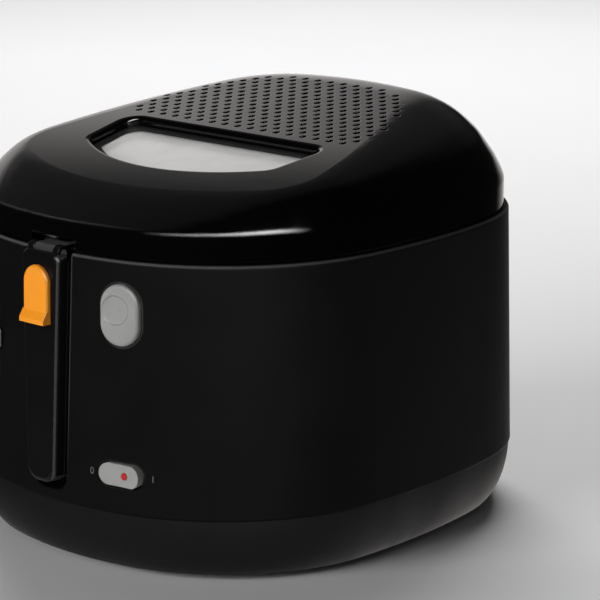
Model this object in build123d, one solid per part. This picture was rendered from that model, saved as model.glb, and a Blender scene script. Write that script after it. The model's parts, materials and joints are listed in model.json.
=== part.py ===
from build123d import *
import os
from math import atan, atan2, cos, degrees, dist, hypot, pi, radians, sin, sqrt

# Deep fryer with a rear-hinged domed lid, a lift-out basket and a fold-down basket handle.
# Millimetres, +Z up, front (handle side) towards -Y, the table at z = 0.

# Plan of the body at the lid seam: eight tangent arcs, symmetric about the Y axis
half_width = 136.0
front_reach = 125.0
back_reach = 185.0
front_radius = 207.0
front_corner_radius = 114.0
side_radius = 440.0
back_corner_radius = 112.0
back_radius = 400.0

# Heights
foot_height = 4.0
base_height = 34.0
wall_height = 140.5
draft = 3.0

# Walls and clearances
body_wall = 2.5
deck_thickness = 3.0
deck_edge_radius = 2.0
seat_gap = 0.2
part_gap = 0.6
pin_play = 0.05

# Base tray
base_step = 0.8
base_tuck = 20.0
base_floor = 2.5
vent_slot_length = 40.0
vent_slot_width = 4.0
vent_slot_pitch = 14.0
vent_slot_count = 8

# Feet and base screws
foot_radius = 9.0
foot_stud_radius = 2.5
foot_inset = 34.0
foot_turns = (38.0, 132.0, 228.0, 322.0)
screw_turns = (52.0, 118.0, 242.0, 308.0)
screw_inset = 18.0
screw_tab = 5.0
screw_tab_half_width = 6.0
screw_seat = 26.0
screw_boss_radius = 5.0
screw_head_radius = 3.6
screw_head_height = 2.2
screw_shank_radius = 1.5
screw_length = 12.0

# Bowl
bowl_inset = 20.0
bowl_draft = 6.0
bowl_wall = 1.5
bowl_clearance_below = 24.0
bowl_floor_radius = 14.0
flange_width = 7.0
flange_thickness = 1.5

# Heating
element_radius = 4.0
element_bend = 20.0
element_half_width = 70.0
element_front = -60.0
element_back = 70.0
element_lead = 20.0
element_lead_end = 112.0
shield_inset = 38.0
shield_sheet = 1.0
shield_rim = 8.0
shield_height = 46.0
cutout_radius = 8.0
cutout_height = 8.0

# Terminal block
terminal_setback = 47.0
terminal_width = 36.0
terminal_depth = 16.0
terminal_height = 12.0
terminal_well_radius = 2.2
terminal_count = 4

# Basket and its bracket
basket_inset = 30.0
basket_draft = 8.0
basket_wall = 1.2
basket_floor_gap = 9.0
basket_depth = 88.0
basket_wire_radius = 2.0
slot_length = 56.0
slot_width = 5.0
slot_count = 56
floor_slot_length = 110.0
floor_slot_pitch = 11.0
floor_slot_count = 13
bracket_half_width = 7.5
bracket_sheet = 1.6
bracket_leg = 34.0

# Handle, its channel and its hinge
channel_half_top = 17.8
channel_half_bottom = 13.8
channel_drop = 135.0
channel_depth = 11.0
channel_corner = 10.0
handle_half_top = 15.2
handle_half_bottom = 11.2
handle_length = 130.0
handle_thickness = 14.0
handle_proud = 7.0
handle_back_share = 6.0
handle_wall = 2.5
handle_corner_top = 5.0
handle_corner_bottom = 9.0
handle_edge_radius = 3.0
ear_inner = 8.0
ear_outer = 12.4
barrel_radius = 4.0
barrel_gap = 0.5
ear_margin = 0.3
handle_pin_radius = 2.0

# Slide catch on the handle
slider_half_width = 9.7
slider_top_drop = 7.0
slider_height = 32.0
slider_thickness = 3.0
slider_lip = 2.5
slider_edge_radius = 1.8
slider_lip_height = 7.0
slider_travel = 8.0
slider_stem_half_width = 4.0
slider_stem_height = 12.0
slider_shoe = 2.0
slider_shoe_half_width = 6.5
slider_shoe_height = 15.0
slider_spring_radius = 1.9
slider_spring_wire = 0.35
slider_spring_pitch = 2.2
slider_spring_turns = 8

# Controls: turn from the front, and drop below the lid seam
control_turn = 14.6
button_width = 24.5
button_height = 34.2
button_drop = 29.8
button_proud = 2.4
button_depth = 6.5
button_flange = 2.0
button_edge_radius = 2.2
dish_radius = 9.5
dish_depth = 1.2
dish_rise = 3.0
rocker_width = 27.0
rocker_height = 12.4
rocker_drop = 118.8
rocker_proud = 2.0
rocker_depth = 6.4
rocker_hollow_radius = 80.0
rocker_tilt = 6.0
rocker_gap = 1.0
rocker_axle_radius = 1.2
rocker_axle_depth = 5.0
lamp_radius = 2.0
lamp_offset = 3.4
switch_half_width = 16.5
switch_half_height = 10.2
switch_depth = 24.0
switch_pocket = 8.8
thermostat_drop = 58.0
thermostat_slot = 50.0
thermostat_slot_width = 6.0
thermostat_knob_width = 15.0
thermostat_knob_height = 11.0
thermostat_knob_proud = 7.0
thermostat_gap = 0.8
thermostat_shoe_width = 12.0
thermostat_box_width = 30.0
thermostat_box_height = 44.0
thermostat_box_depth = 10.0
thermostat_box_inset = 8.0
thermostat_cheek = 5.0

# Latch behind the button
catch_inset = 7.5
catch_sheet = 3.0
catch_half_width = 8.0
catch_length = 30.0
catch_bar_drop = 15.9
catch_window = 5.4
catch_window_half = 5.5
catch_slot_gap = 1.5
latch_gap = 0.4
hook_sheet = 2.6
hook_half_width = 4.2
hook_top_drop = 11.5
hook_pivot_drop = 56.5
hook_push_drop = 33.5
hook_nose_height = 3.0
hook_knuckle = 3.0
latch_pin_radius = 1.5
push_radius = 2.0
cheek_inner = 9.0
cheek_outer = 11.5
cheek_height = 12.0
latch_spring_radius = 2.6
latch_spring_wire = 0.4
latch_spring_pitch = 1.35
latch_spring_turns = 2
latch_spring_leg = 5.0

# Lid
lid_gap = 1.0
lid_inset = 3.0
lid_wall = 2.5
lid_band = 15.5
lid_top_height = 47.4
lid_top_at = 12.0
lid_top_slope = 0.18
dome_edge_blend = 0.06
dome_rises = (0.0, 0.03, 0.08, 0.16, 0.28, 0.42, 0.56, 0.70, 0.82, 0.91, 0.97, 0.9925, 1.0)
lid_notch_height = 6.0

# Outline of the lid's flat top: eight tangent arcs about a middle further to the front
top_middle = -97.0
top_half_width = 115.0
top_front = -15.0
top_back = 205.0
top_front_radius = 190.0
top_front_corner = 30.0
top_side_radius = 360.0
top_back_corner = 40.0
top_back_radius = 160.0

# Lid frame, seal and screw bosses
frame_width = 18.0
frame_rise = 8.5
frame_thickness = 3.0
seal_inset = 14.5
seal_width = 4.5
seal_gap = 0.4
boss_radius = 4.0
boss_inset = 9.8
lid_screw_length = 9.0
boss_turns = (50.0, 90.0, 140.0, 220.0, 270.0, 310.0)

# Window in the lid
window_half_back = 79.0
window_half_front = 73.0
window_length = 39.5
window_front_radius = 125.0
window_corner = 9.0
window_rim_radius = 3.0
window_collar = 10.8
window_sill = 1.3
window_ledge = 4.0
pane_thickness = 2.0
pane_margin = 0.3
bezel_width = 3.5
bezel_height = 1.5

# Vent grille and grease filter
grille_start = 9.5
grille_pitch = 10.3
grille_row_pitch = 5.7
grille_hole_radius = 2.4
grille_margin = 5.5
grille_rows = 18
grille_half_columns = 9
filter_grow = 10.5
filter_half_width = 95.0
filter_collar = 18.0
filter_collar_wall = 2.0
filter_side_gap = 0.5
filter_pad_top = 8.5
filter_pad_height = 6.0
filter_cover_height = 2.0
filter_slot_width = 4.0
filter_slot_pitch = 10.0
filter_slot_half_count = 6
filter_slot_length = 60.0

# Lid hinge at the back
hinge_setback = 7.5
hinge_pin_radius = 2.5
knuckle_radius = 6.0
knuckle_half_width = 14.0
lug_radius = 7.0
lug_inner = 24.5
lug_outer = 32.0
hinge_plate_drop = 26.0
hinge_arm_sheet = 3.0
hinge_arm_reach = 36.0
lid_spring_coil_radius = 4.4
lid_spring_wire = 0.6
lid_spring_turns = 4
lid_spring_pitch = 2.1
lid_spring_leg = 6.0

# Cord gland at the back
gland_height = 62.0
gland_flange_radius = 10.0
gland_flange = 3.0
gland_neck_radius = 6.5
gland_bore_radius = 3.6

# Heights that follow from the sizes above
base_seam = foot_height + base_height
seam = base_seam + wall_height
bowl_bottom = base_seam + bowl_clearance_below
basket_floor = bowl_bottom + bowl_wall + basket_floor_gap
basket_top = basket_floor + basket_depth
lid_bottom = seam + lid_gap
frame_bottom = seam + frame_rise
frame_top = frame_bottom + frame_thickness
hinge_y = back_reach + hinge_setback
hinge_z = seam
handle_axis_z = seam - part_gap
handle_front = -(front_reach + handle_proud)
handle_axis_y = handle_front + handle_thickness / 2
window_sag = window_front_radius - sqrt(window_front_radius**2 - window_half_front**2)
UP = (0, 0, 1)
BOTTOM = (Align.CENTER, Align.CENTER, Align.MIN)


def heading(start, end):
    """Polar angle in degrees of the direction from start to end."""
    return degrees(atan2(end[1] - start[1], end[0] - start[0]))


def corner_centres(end_centre, reach_end, side_centre, reach_side):
    """Both places, front and back, at set distances from the centres of an end arc and the side arc."""
    across_x = side_centre[0] - end_centre[0]
    across_y = side_centre[1] - end_centre[1]
    apart = hypot(across_x, across_y)
    along = (reach_end**2 - reach_side**2 + apart**2) / (2 * apart)
    aside = sqrt(reach_end**2 - along**2)
    ux = across_x / apart
    uy = across_y / apart
    one = (end_centre[0] + along * ux - aside * uy, end_centre[1] + along * uy + aside * ux)
    other = (end_centre[0] + along * ux + aside * uy, end_centre[1] + along * uy - aside * ux)
    return sorted((one, other), key=lambda place: place[1])


def arcs_of(half, front, back, front_end, front_corner, side, back_corner, back_end):
    """Right half of an outline of tangent arcs: centre, radius and the polar angle where each arc ends."""
    front_centre = (0.0, front_end - front)
    back_centre = (0.0, back - back_end)
    side_centre = (half - side, 0.0)
    front_turn, _ = corner_centres(front_centre, front_end - front_corner, side_centre, side - front_corner)
    _, back_turn = corner_centres(back_centre, back_end - back_corner, side_centre, side - back_corner)
    return (
        (front_centre, front_end, heading(front_centre, front_turn)),
        (front_turn, front_corner, heading(side_centre, front_turn)),
        (side_centre, side, heading(side_centre, back_turn)),
        (back_turn, back_corner, heading(back_centre, back_turn)),
        (back_centre, back_end, 90.0),
    )


seam_sizes = (
    half_width,
    front_reach,
    back_reach,
    front_radius,
    front_corner_radius,
    side_radius,
    back_corner_radius,
    back_radius,
)
band_sizes = tuple(size - lid_inset for size in seam_sizes)
top_sizes = (
    top_half_width,
    top_front,
    top_back,
    top_front_radius,
    top_front_corner,
    top_side_radius,
    top_back_corner,
    top_back_radius,
)
seam_arcs = arcs_of(*seam_sizes)
top_arcs = arcs_of(*top_sizes)


def plan_point(turn, grow=0.0):
    """Point of the plan whose outward normal is turned from the front towards +X by turn degrees."""
    turn = turn % 360
    mirror = -1 if turn > 180 else 1
    polar = (360 - turn if turn > 180 else turn) - 90
    for centre, radius, end in seam_arcs:
        if polar <= end + 1e-9:
            reach = radius + grow
            return mirror * (centre[0] + reach * cos(radians(polar))), centre[1] + reach * sin(radians(polar))


def plan_face(grow=0.0, z=0.0, arcs=seam_arcs):
    """Outline grown or shrunk by grow, with every arc keeping its centre."""
    front, back = arcs[0], arcs[-1]
    edges = [CenterArc((*front[0], z), front[1] + grow, -180 - front[2], 2 * front[2] + 180)]
    start = front[2]
    for centre, radius, end in arcs[1:4]:
        edges.append(CenterArc((*centre, z), radius + grow, start, end - start))
        start = end
    edges.append(CenterArc((*back[0], z), back[1] + grow, start, 180 - 2 * start))
    for number in (3, 2, 1):
        centre, radius, end = arcs[number]
        begin = arcs[number - 1][2]
        edges.append(CenterArc((-centre[0], centre[1], z), radius + grow, 180 - end, end - begin))
    return make_face(edges)


def slab(grow, low, high):
    """Upright prism of the plan between two heights."""
    return extrude(plan_face(grow, low), amount=high - low, dir=UP)


def taper(grow_low, low, grow_high, high):
    """Drafted prism of the plan."""
    return loft([plan_face(grow_low, low), plan_face(grow_high, high)], ruled=True)


def wall_grow(z):
    """How far the drafted body wall stands outside the plan at a height."""
    return draft * (seam - z) / wall_height


def wall_plane(turn, drop):
    """Plane on the drafted wall: local X along the wall, local Y up it, local Z outwards."""
    z = seam - drop
    x, y = plan_point(turn, wall_grow(z))
    angle = radians(turn)
    lean = atan(draft / wall_height)
    out = (sin(angle) * cos(lean), -cos(angle) * cos(lean), sin(lean))
    return Plane(origin=(x, y, z), x_dir=(cos(angle), sin(angle), 0), z_dir=out)


def box_between(low, high):
    """Box from its lowest to its highest corner."""
    size = [b - a for a, b in zip(low, high)]
    middle = [(a + b) / 2 for a, b in zip(low, high)]
    return Pos(*middle) * Box(*size)


def rod_x(radius, x_low, x_high, y, z):
    """Cylinder along X."""
    return Pos((x_low + x_high) / 2, y, z) * Rot(0, 90, 0) * Cylinder(radius, x_high - x_low)


def stadium_prism(width, height, low, high):
    """Stadium outline extruded along local Z, long side along the larger of width and height."""
    if width > height:
        outline = SlotOverall(width, height)
    else:
        outline = Rot(0, 0, 90) * SlotOverall(height, width)
    return Pos(0, 0, low) * extrude(outline, amount=high - low, dir=UP)


def coil_path(radius, pitch, turns, leg):
    """Tilted half circles: each climbs half a pitch and meets the next along one tangent."""
    path = []
    if leg > 0:
        path.append(Line((radius, -leg, 0), (radius, 0, 0)))
    bulge = hypot(radius, pitch / 4)
    for half in range(2 * turns):
        side = 1 if half % 2 == 0 else -1
        low = half * pitch / 2
        start = (side * radius, 0, low)
        middle = (0, side * bulge, low + pitch / 4)
        end = (-side * radius, 0, low + pitch / 2)
        path.append(ThreePointArc(start, middle, end))
    if leg > 0:
        path.append(Line((radius, 0, turns * pitch), (radius, leg, turns * pitch)))
    return Wire(path)


def coil(radius, wire_radius, pitch, turns, leg):
    """Wound spring along local Z, with straight legs, as one unbroken wire of six sides."""
    path = coil_path(radius, pitch, turns, leg)
    section = Plane(origin=path @ 0, z_dir=path % 0) * RegularPolygon(wire_radius, 6)
    return sweep(section, path=path)


def tilted(obj, z, slope):
    """Lift a flat shape to a height and tilt it about the lid's reference line."""
    turn = degrees(atan(slope))
    return Pos(0, lid_top_at, z) * Rot(turn, 0, 0) * Pos(0, -lid_top_at, 0) * obj


def dome_section(rise, wall=0.0):
    """One section of the dome, rise 0 at the band and 1 at the flat top, its arcs blended between both."""
    ease = rise * (1 + dome_edge_blend) / (rise + dome_edge_blend)
    step = (1 - sqrt(1 - rise)) * ease
    sizes = [low + step * (high - low) for low, high in zip(band_sizes, top_sizes)]
    face = plan_face(-wall * (1 - 0.3 * step), 0.0, arcs_of(*sizes))
    z = seam + lid_band + rise * (lid_top_height - lid_band - wall)
    return tilted(Pos(0, step * top_middle, 0) * face, z, rise * lid_top_slope)


def lid_form(wall=0.0, bottom=None):
    """Closed form of the lid: upright band and lofted dome, offset inwards by wall."""
    low = lid_bottom if bottom is None else bottom
    band = slab(-(lid_inset + wall), low, seam + lid_band)
    dome = loft([dome_section(rise, wall) for rise in dome_rises])
    return band + dome


lid_top = Plane(
    origin=(0, lid_top_at, seam + lid_top_height),
    x_dir=(1, 0, 0),
    z_dir=(0, -lid_top_slope, 1),
)
lid_outer = lid_form()


def window_face(shrink=0.0):
    """D-shaped window outline in the plane of the lid's top, straight at the back, bowed at the front."""
    back = window_half_back - shrink
    front = window_half_front - shrink
    length = window_length - shrink
    outline = Polyline((-front, -length), (-back, -shrink), (back, -shrink), (front, -length))
    bow = ThreePointArc((front, -length), (0, -length - window_sag), (-front, -length))
    face = make_face([*outline.edges(), bow])
    return fillet(face.vertices(), window_corner)


def on_lid_top(face, top, bottom):
    """Prism on the lid's top plane between two depths below it."""
    return lid_top * Pos(0, 0, -bottom) * extrude(face, amount=bottom - top, dir=UP)


def filter_face(shrink=0.0):
    """Outline of the filter chamber: the lid's flat top grown a little, cut in front and at the sides."""
    whole = Pos(0, top_middle - lid_top_at, 0) * plan_face(filter_grow - shrink, 0.0, top_arcs)
    half = filter_half_width - shrink
    front = grille_start - grille_margin + shrink
    return whole & Pos(0, front + half_width, 0) * Rectangle(2 * half, 2 * half_width)


def grille_points():
    """Hole centres in staggered rows, kept where the hole lies well inside the chamber outline."""
    chamber = filter_face(grille_margin).face()
    points = []
    for row in range(grille_rows):
        shift = 0.5 * (row % 2)
        for column in range(-grille_half_columns, grille_half_columns + 1):
            point = ((column + shift) * grille_pitch, grille_start + (row + 0.1) * grille_row_pitch)
            if chamber.is_inside((*point, 0)):
                points.append(point)
    return points


def inside_wall(gap):
    """Space inside the body wall, kept a gap away from it."""
    return taper(draft - body_wall - gap, base_seam, -body_wall - gap, seam)


def channel_form(wall):
    """Upright tapered pocket for the folded handle, grown by a wall on its sides, floor and back."""
    top = channel_half_top + wall
    bottom = channel_half_bottom + wall
    floor = seam - channel_drop - wall
    outline = Polyline((-top, seam + wall), (-bottom, floor), (bottom, floor), (top, seam + wall), close=True)
    face = make_face(outline)
    face = fillet(face.vertices().sort_by(Axis.Y)[:2], channel_corner + wall)
    back = -(front_reach - channel_depth) + wall
    reach = back + front_reach + draft + handle_thickness
    return Plane(origin=(0, back, 0), x_dir=(1, 0, 0), z_dir=(0, -1, 0)) * extrude(face, amount=reach, dir=UP)


# Local frames on the wall: u along it, v up, w out
button_at = wall_plane(control_turn, button_drop)
rocker_at = wall_plane(control_turn, rocker_drop)
thermostat_at = wall_plane(-control_turn, thermostat_drop)
catch_back = catch_inset + catch_sheet
hook_front = catch_back + 0.5
hook_pivot = hook_front + hook_sheet / 2
pivot_v = button_drop - hook_pivot_drop
push_v = button_drop - hook_push_drop
bar_v = button_drop - catch_bar_drop
latch_axis = button_at * Pos(0, pivot_v, -hook_pivot) * Rot(0, 90, 0)


def outer_body():
    """Drafted wall with a top deck, handle channel, openings, screw tabs and moulded latch cheeks."""
    form = taper(draft, base_seam, 0, seam)
    form = fillet(form.faces().sort_by(Axis.Z)[-1].edges(), deck_edge_radius)
    body = form - taper(draft - body_wall, base_seam, -body_wall, seam - deck_thickness)
    body -= slab(-(bowl_inset - part_gap), seam - 2 * deck_thickness, seam + deck_thickness)
    body += channel_form(body_wall) & form
    body -= channel_form(0)
    for side in (-1, 1):
        middle = side * (cheek_inner + cheek_outer) / 2
        depth = hook_pivot + hook_knuckle
        cheek = Box(cheek_outer - cheek_inner, cheek_height, depth - 2)
        body += button_at * Pos(middle, pivot_v, -(depth + 2) / 2) * cheek
    body -= latch_axis * Cylinder(latch_pin_radius + pin_play, 60)
    for turn in screw_turns:
        out = screw_inset + draft - body_wall / 2
        reach = out + screw_boss_radius
        tab = Box(2 * screw_tab_half_width, reach, screw_tab, align=BOTTOM)
        tab = Pos(0, reach / 2 - out, part_gap) * tab
        tab -= Cylinder(screw_shank_radius + pin_play, 40)
        body += Pos(*plan_point(turn, -screw_inset), base_seam) * Rot(0, 0, turn) * tab
    gap = 2 * part_gap
    body -= button_at * stadium_prism(button_width + gap, button_height + gap, -7, 5)
    body -= rocker_at * stadium_prism(rocker_width + 2 * rocker_gap, rocker_height + 2 * rocker_gap, -6, 5)
    body -= thermostat_at * stadium_prism(thermostat_slot_width, thermostat_slot, -6, 5)
    slot_wide = 2 * (catch_half_width + catch_slot_gap)
    slot_deep = catch_sheet + 2 * catch_slot_gap
    body -= button_at * Pos(0, button_drop, -(catch_inset + catch_sheet / 2)) * Box(slot_wide, 12, slot_deep)
    body -= Pos(0, back_reach, gland_height) * Rot(90, 0, 0) * Cylinder(gland_neck_radius + seat_gap, 20)
    for x, z in hinge_screw_places():
        body -= Pos(x, back_reach, z) * Rot(90, 0, 0) * Cylinder(screw_shank_radius + pin_play, 20)
    return body


def hinge_screw_places():
    """Two screws through the hinge bracket's plate."""
    return [(side * lug_inner, seam - hinge_plate_drop + 7) for side in (-1, 1)]


def base_grow(z):
    """Grow of the base's outline at a height: an elliptic tuck from the seam down to the floor."""
    depth = (base_seam - z) / base_seam
    return draft - base_step - base_tuck * (1 - sqrt(1 - depth**2))


def base_tray():
    """Tucked-in tray below the body, with vent slots, posts for the heat shield and screw bosses."""
    top = base_seam - seat_gap
    levels = (foot_height, foot_height + 6, foot_height + 14, foot_height + 24, top)
    tray = loft([plan_face(base_grow(z), z) for z in levels])
    inner_levels = (foot_height + base_floor,) + levels[1:]
    tray -= loft([plan_face(base_grow(z) - body_wall, z) for z in inner_levels])
    adds = []
    cuts = []
    for turn in foot_turns:
        x, y = plan_point(turn, -foot_inset)
        cuts.append(Pos(x, y, foot_height) * Cylinder(foot_stud_radius, 20))
        x, y = plan_point(turn, -shield_inset - 12)
        height = shield_height - foot_height - 1 - seat_gap
        adds.append(Pos(x, y, foot_height + 1) * Cylinder(4, height, align=BOTTOM))
    for turn in screw_turns:
        x, y = plan_point(turn, -screw_inset)
        height = base_height - 1 - seat_gap
        adds.append(Pos(x, y, foot_height + 1) * Cylinder(screw_boss_radius, height, align=BOTTOM))
        cuts.append(Pos(x, y, 0) * Cylinder(screw_head_radius + seat_gap, screw_seat, align=BOTTOM))
        cuts.append(Pos(x, y, 0) * Cylinder(screw_shank_radius + pin_play, 2 * base_height, align=BOTTOM))
    for row in range(vent_slot_count):
        y = (row - (vent_slot_count - 1) / 2) * vent_slot_pitch + (back_reach - front_reach) / 2
        cuts.append(Pos(0, y, foot_height) * Box(vent_slot_length, vent_slot_width, 20))
    return tray + adds - cuts


def screw(length):
    """Pan-head screw pointing up, its head's seat at z = 0."""
    head = Pos(0, 0, -screw_head_height) * Cylinder(screw_head_radius, screw_head_height, align=BOTTOM)
    return head + Cylinder(screw_shank_radius, length, align=BOTTOM)


def feet():
    group = []
    for turn in foot_turns:
        x, y = plan_point(turn, -foot_inset)
        foot = Cylinder(foot_radius, foot_height - seat_gap, align=BOTTOM)
        foot += Cylinder(foot_stud_radius - pin_play, foot_height + base_floor + 2, align=BOTTOM)
        group.append(Pos(x, y, 0) * foot)
    return Compound(children=group)


def base_screws():
    group = []
    for turn in screw_turns:
        x, y = plan_point(turn, -screw_inset)
        group.append(Pos(x, y, screw_seat) * screw(screw_length + 3))
    return Compound(children=group)


def bowl():
    """Deep drawn bowl with a rounded floor edge and a flange that rests on the deck."""
    low = -(bowl_inset + bowl_draft)
    shell = taper(low, bowl_bottom, -bowl_inset, seam + seat_gap)
    shell = fillet(shell.faces().sort_by(Axis.Z)[0].edges(), bowl_floor_radius)
    space = taper(low - bowl_wall, bowl_bottom + bowl_wall, -bowl_inset - bowl_wall, seam + seat_gap)
    space = fillet(space.faces().sort_by(Axis.Z)[0].edges(), bowl_floor_radius - bowl_wall)
    shell += slab(-(bowl_inset - flange_width), seam + seat_gap, seam + seat_gap + flange_thickness)
    shell -= slab(-(bowl_inset + bowl_wall), seam, seam + 10)
    return shell - space


def heating_element():
    """Round tube bent to a ring with two leads to the back."""
    z = bowl_bottom - seat_gap - element_radius
    lead = element_lead
    wide = element_half_width
    points = [(-lead, element_lead_end, z), (-lead, element_back, z), (-wide, element_back, z)]
    points += [(-wide, element_front, z), (wide, element_front, z), (wide, element_back, z)]
    points += [(lead, element_back, z), (lead, element_lead_end, z)]
    path = FilletPolyline(*points, radius=element_bend)
    section = Plane(origin=path @ 0, z_dir=path % 0) * Circle(element_radius)
    return sweep(section, path=path)


def heat_shield():
    """Shallow sheet pan under the element, on the tray's posts."""
    pan = slab(-shield_inset, shield_height, shield_height + shield_rim)
    floor = shield_height + shield_sheet
    return pan - slab(-shield_inset - shield_sheet, floor, floor + shield_rim)


def thermal_cutout():
    top = bowl_bottom - seat_gap
    can = Pos(0, 10, top - cutout_height) * Cylinder(cutout_radius, cutout_height, align=BOTTOM)
    for side in (-1, 1):
        can += Pos(side * 4, 10, top - cutout_height - 3) * Box(0.8, 4, 6, align=BOTTOM)
    return can


def thermostat_body():
    """Control box behind the slider, held by two side cheeks against the wall, clear of the channel."""
    deep = thermostat_box_inset + thermostat_box_depth
    middle = thermostat_box_inset + thermostat_box_depth / 2
    box = Pos(0, 0, -middle) * Box(thermostat_box_width, thermostat_box_height, thermostat_box_depth)
    for side in (-1, 1):
        out = side * (thermostat_box_width + thermostat_cheek) / 2
        box += Pos(out, 0, -deep / 2) * Box(thermostat_cheek, thermostat_box_height, deep)
    return ((thermostat_at * box) & inside_wall(seat_gap)) - channel_form(body_wall + part_gap)


def terminal_block():
    """Block of screw terminals on the floor of the tray."""
    y = back_reach - terminal_setback
    low = foot_height + base_floor + seat_gap
    block = Pos(0, y, low) * Box(terminal_width, terminal_depth, terminal_height, align=BOTTOM)
    for column in range(terminal_count):
        x = (column - (terminal_count - 1) / 2) * terminal_width / (terminal_count + 0.5)
        well = Cylinder(terminal_well_radius, terminal_height, align=BOTTOM)
        block -= Pos(x, y, low + terminal_height / 2) * well
    return block


def switch_housing():
    """Switch box behind the wall with a pocket for the rocker and bearings for its axle."""
    front = 1.0
    box = Pos(0, 0, -(switch_depth + front) / 2)
    box = box * Box(2 * switch_half_width, 2 * switch_half_height, switch_depth - front)
    wide = rocker_width + 3 * rocker_gap
    high = rocker_height + 3 * rocker_gap
    box -= stadium_prism(wide, high, -switch_pocket, 0)
    bore = Cylinder(rocker_axle_radius + pin_play, 2 * switch_half_height)
    box -= Pos(0, 0, -rocker_axle_depth) * Rot(90, 0, 0) * bore
    return ((rocker_at * box) & inside_wall(seat_gap)) - channel_form(body_wall + part_gap)


def power_rocker():
    """Rocker with a hollowed face and its axle, tipped so that its right end stands out."""
    body = stadium_prism(rocker_width, rocker_height, -rocker_depth, rocker_proud)
    reach = rocker_hollow_radius + rocker_proud - 1.2
    body -= Pos(0, 0, reach) * Rot(90, 0, 0) * Cylinder(rocker_hollow_radius, 40)
    axle = 2 * switch_half_height - 2
    body += Pos(0, 0, -rocker_axle_depth) * Rot(90, 0, 0) * Cylinder(rocker_axle_radius, axle)
    body -= Pos(lamp_offset, 0, -2) * Cylinder(lamp_radius + pin_play, 10, align=BOTTOM)
    return rocker_tip(body)


def rocker_tip(obj):
    """Tip a rocker piece about the axle."""
    axle = Pos(0, 0, -rocker_axle_depth)
    return rocker_at * axle * Rot(0, -rocker_tilt, 0) * Pos(0, 0, rocker_axle_depth) * obj


def lamp_lens():
    return rocker_tip(Pos(lamp_offset, 0, -2 + pin_play) * Cylinder(lamp_radius, 3.4, align=BOTTOM))


def thermostat_slider():
    """Ribbed knob outside the wall, a stem through the slot and a shoe inside."""
    knob = Box(thermostat_knob_width, thermostat_knob_height, thermostat_knob_proud, align=BOTTOM)
    knob = Pos(0, 0, thermostat_gap) * knob
    knob = fillet(knob.edges().filter_by(Axis.Z), 2)
    knob = fillet(knob.faces().sort_by(Axis.Z)[-1].edges(), 1)
    for row in (-1, 0, 1):
        knob -= Pos(0, row * 3, thermostat_gap + thermostat_knob_proud) * Box(30, 1.2, 1.4)
    stem_wide = thermostat_slot_width - 2 * thermostat_gap
    knob += Pos(0, 0, -5) * Box(stem_wide, stem_wide, 7, align=BOTTOM)
    knob += Pos(0, 0, -5.6) * Box(thermostat_shoe_width, stem_wide, 2, align=BOTTOM)
    return thermostat_at * knob


def lid_button():
    """Stadium push button with a round dish, an inner stop flange and a push stem."""
    body = stadium_prism(button_width, button_height, -button_depth, button_proud)
    body = fillet(body.faces().sort_by(Axis.Z)[-1].edges(), button_edge_radius)
    ball = (dish_radius**2 + dish_depth**2) / (2 * dish_depth)
    body -= Pos(0, dish_rise, button_proud - dish_depth + ball) * Sphere(ball)
    skirt = 2 * button_flange
    inner = button_flange - button_depth
    body += stadium_prism(button_width + skirt, button_height + skirt, -button_depth, inner)
    body -= Pos(0, 5 + 25, -4) * Box(60, 50, 10, align=(Align.CENTER, Align.CENTER, Align.MAX))
    hollow = stadium_prism(button_width - 5, button_height - 5, -20, -1.5)
    body -= hollow
    stem_end = hook_front - latch_gap - push_radius
    stem = Pos(0, push_v, -stem_end) * Box(6, 2 * push_radius, stem_end - 1, align=BOTTOM)
    stem += Pos(0, push_v, -stem_end) * Rot(0, 90, 0) * Cylinder(push_radius, 6)
    return button_at * (body + stem)


def latch_hook():
    """Lever on the latch pin with a nose over the catch's bar."""
    top_v = button_drop - hook_top_drop
    back = -hook_front - hook_sheet
    lever = box_between((-hook_half_width, pivot_v, back), (hook_half_width, top_v, -hook_front))
    nose_low = bar_v + latch_gap
    lever += box_between(
        (-hook_half_width, nose_low, back),
        (hook_half_width, nose_low + hook_nose_height, -catch_inset),
    )
    lever += Pos(0, pivot_v, -hook_pivot) * Rot(0, 90, 0) * Cylinder(hook_knuckle, 2 * hook_half_width)
    lever -= Pos(0, pivot_v, -hook_pivot) * Rot(0, 90, 0) * Cylinder(latch_pin_radius + pin_play, 40)
    return button_at * lever


def latch_pin():
    return latch_axis * Cylinder(latch_pin_radius, 2 * cheek_outer)


def latch_spring():
    """Small torsion spring on the latch pin between the lever and one cheek."""
    wound = coil(
        latch_spring_radius,
        latch_spring_wire,
        latch_spring_pitch,
        latch_spring_turns,
        latch_spring_leg,
    )
    return button_at * Pos(hook_half_width + 0.8, pivot_v, -hook_pivot) * Rot(0, 90, 0) * wound


def latch_catch():
    """Plate under the lid frame, with a window whose lower bar the hook holds."""
    top_v = button_drop + frame_rise - seat_gap
    low_v = top_v - catch_length
    plate = box_between((-catch_half_width, low_v, -catch_back), (catch_half_width, top_v, -catch_inset))
    plate -= box_between(
        (-catch_window_half, bar_v, -catch_back - 1),
        (catch_window_half, bar_v + catch_window, -catch_inset + 1),
    )
    return button_at * plate


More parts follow.
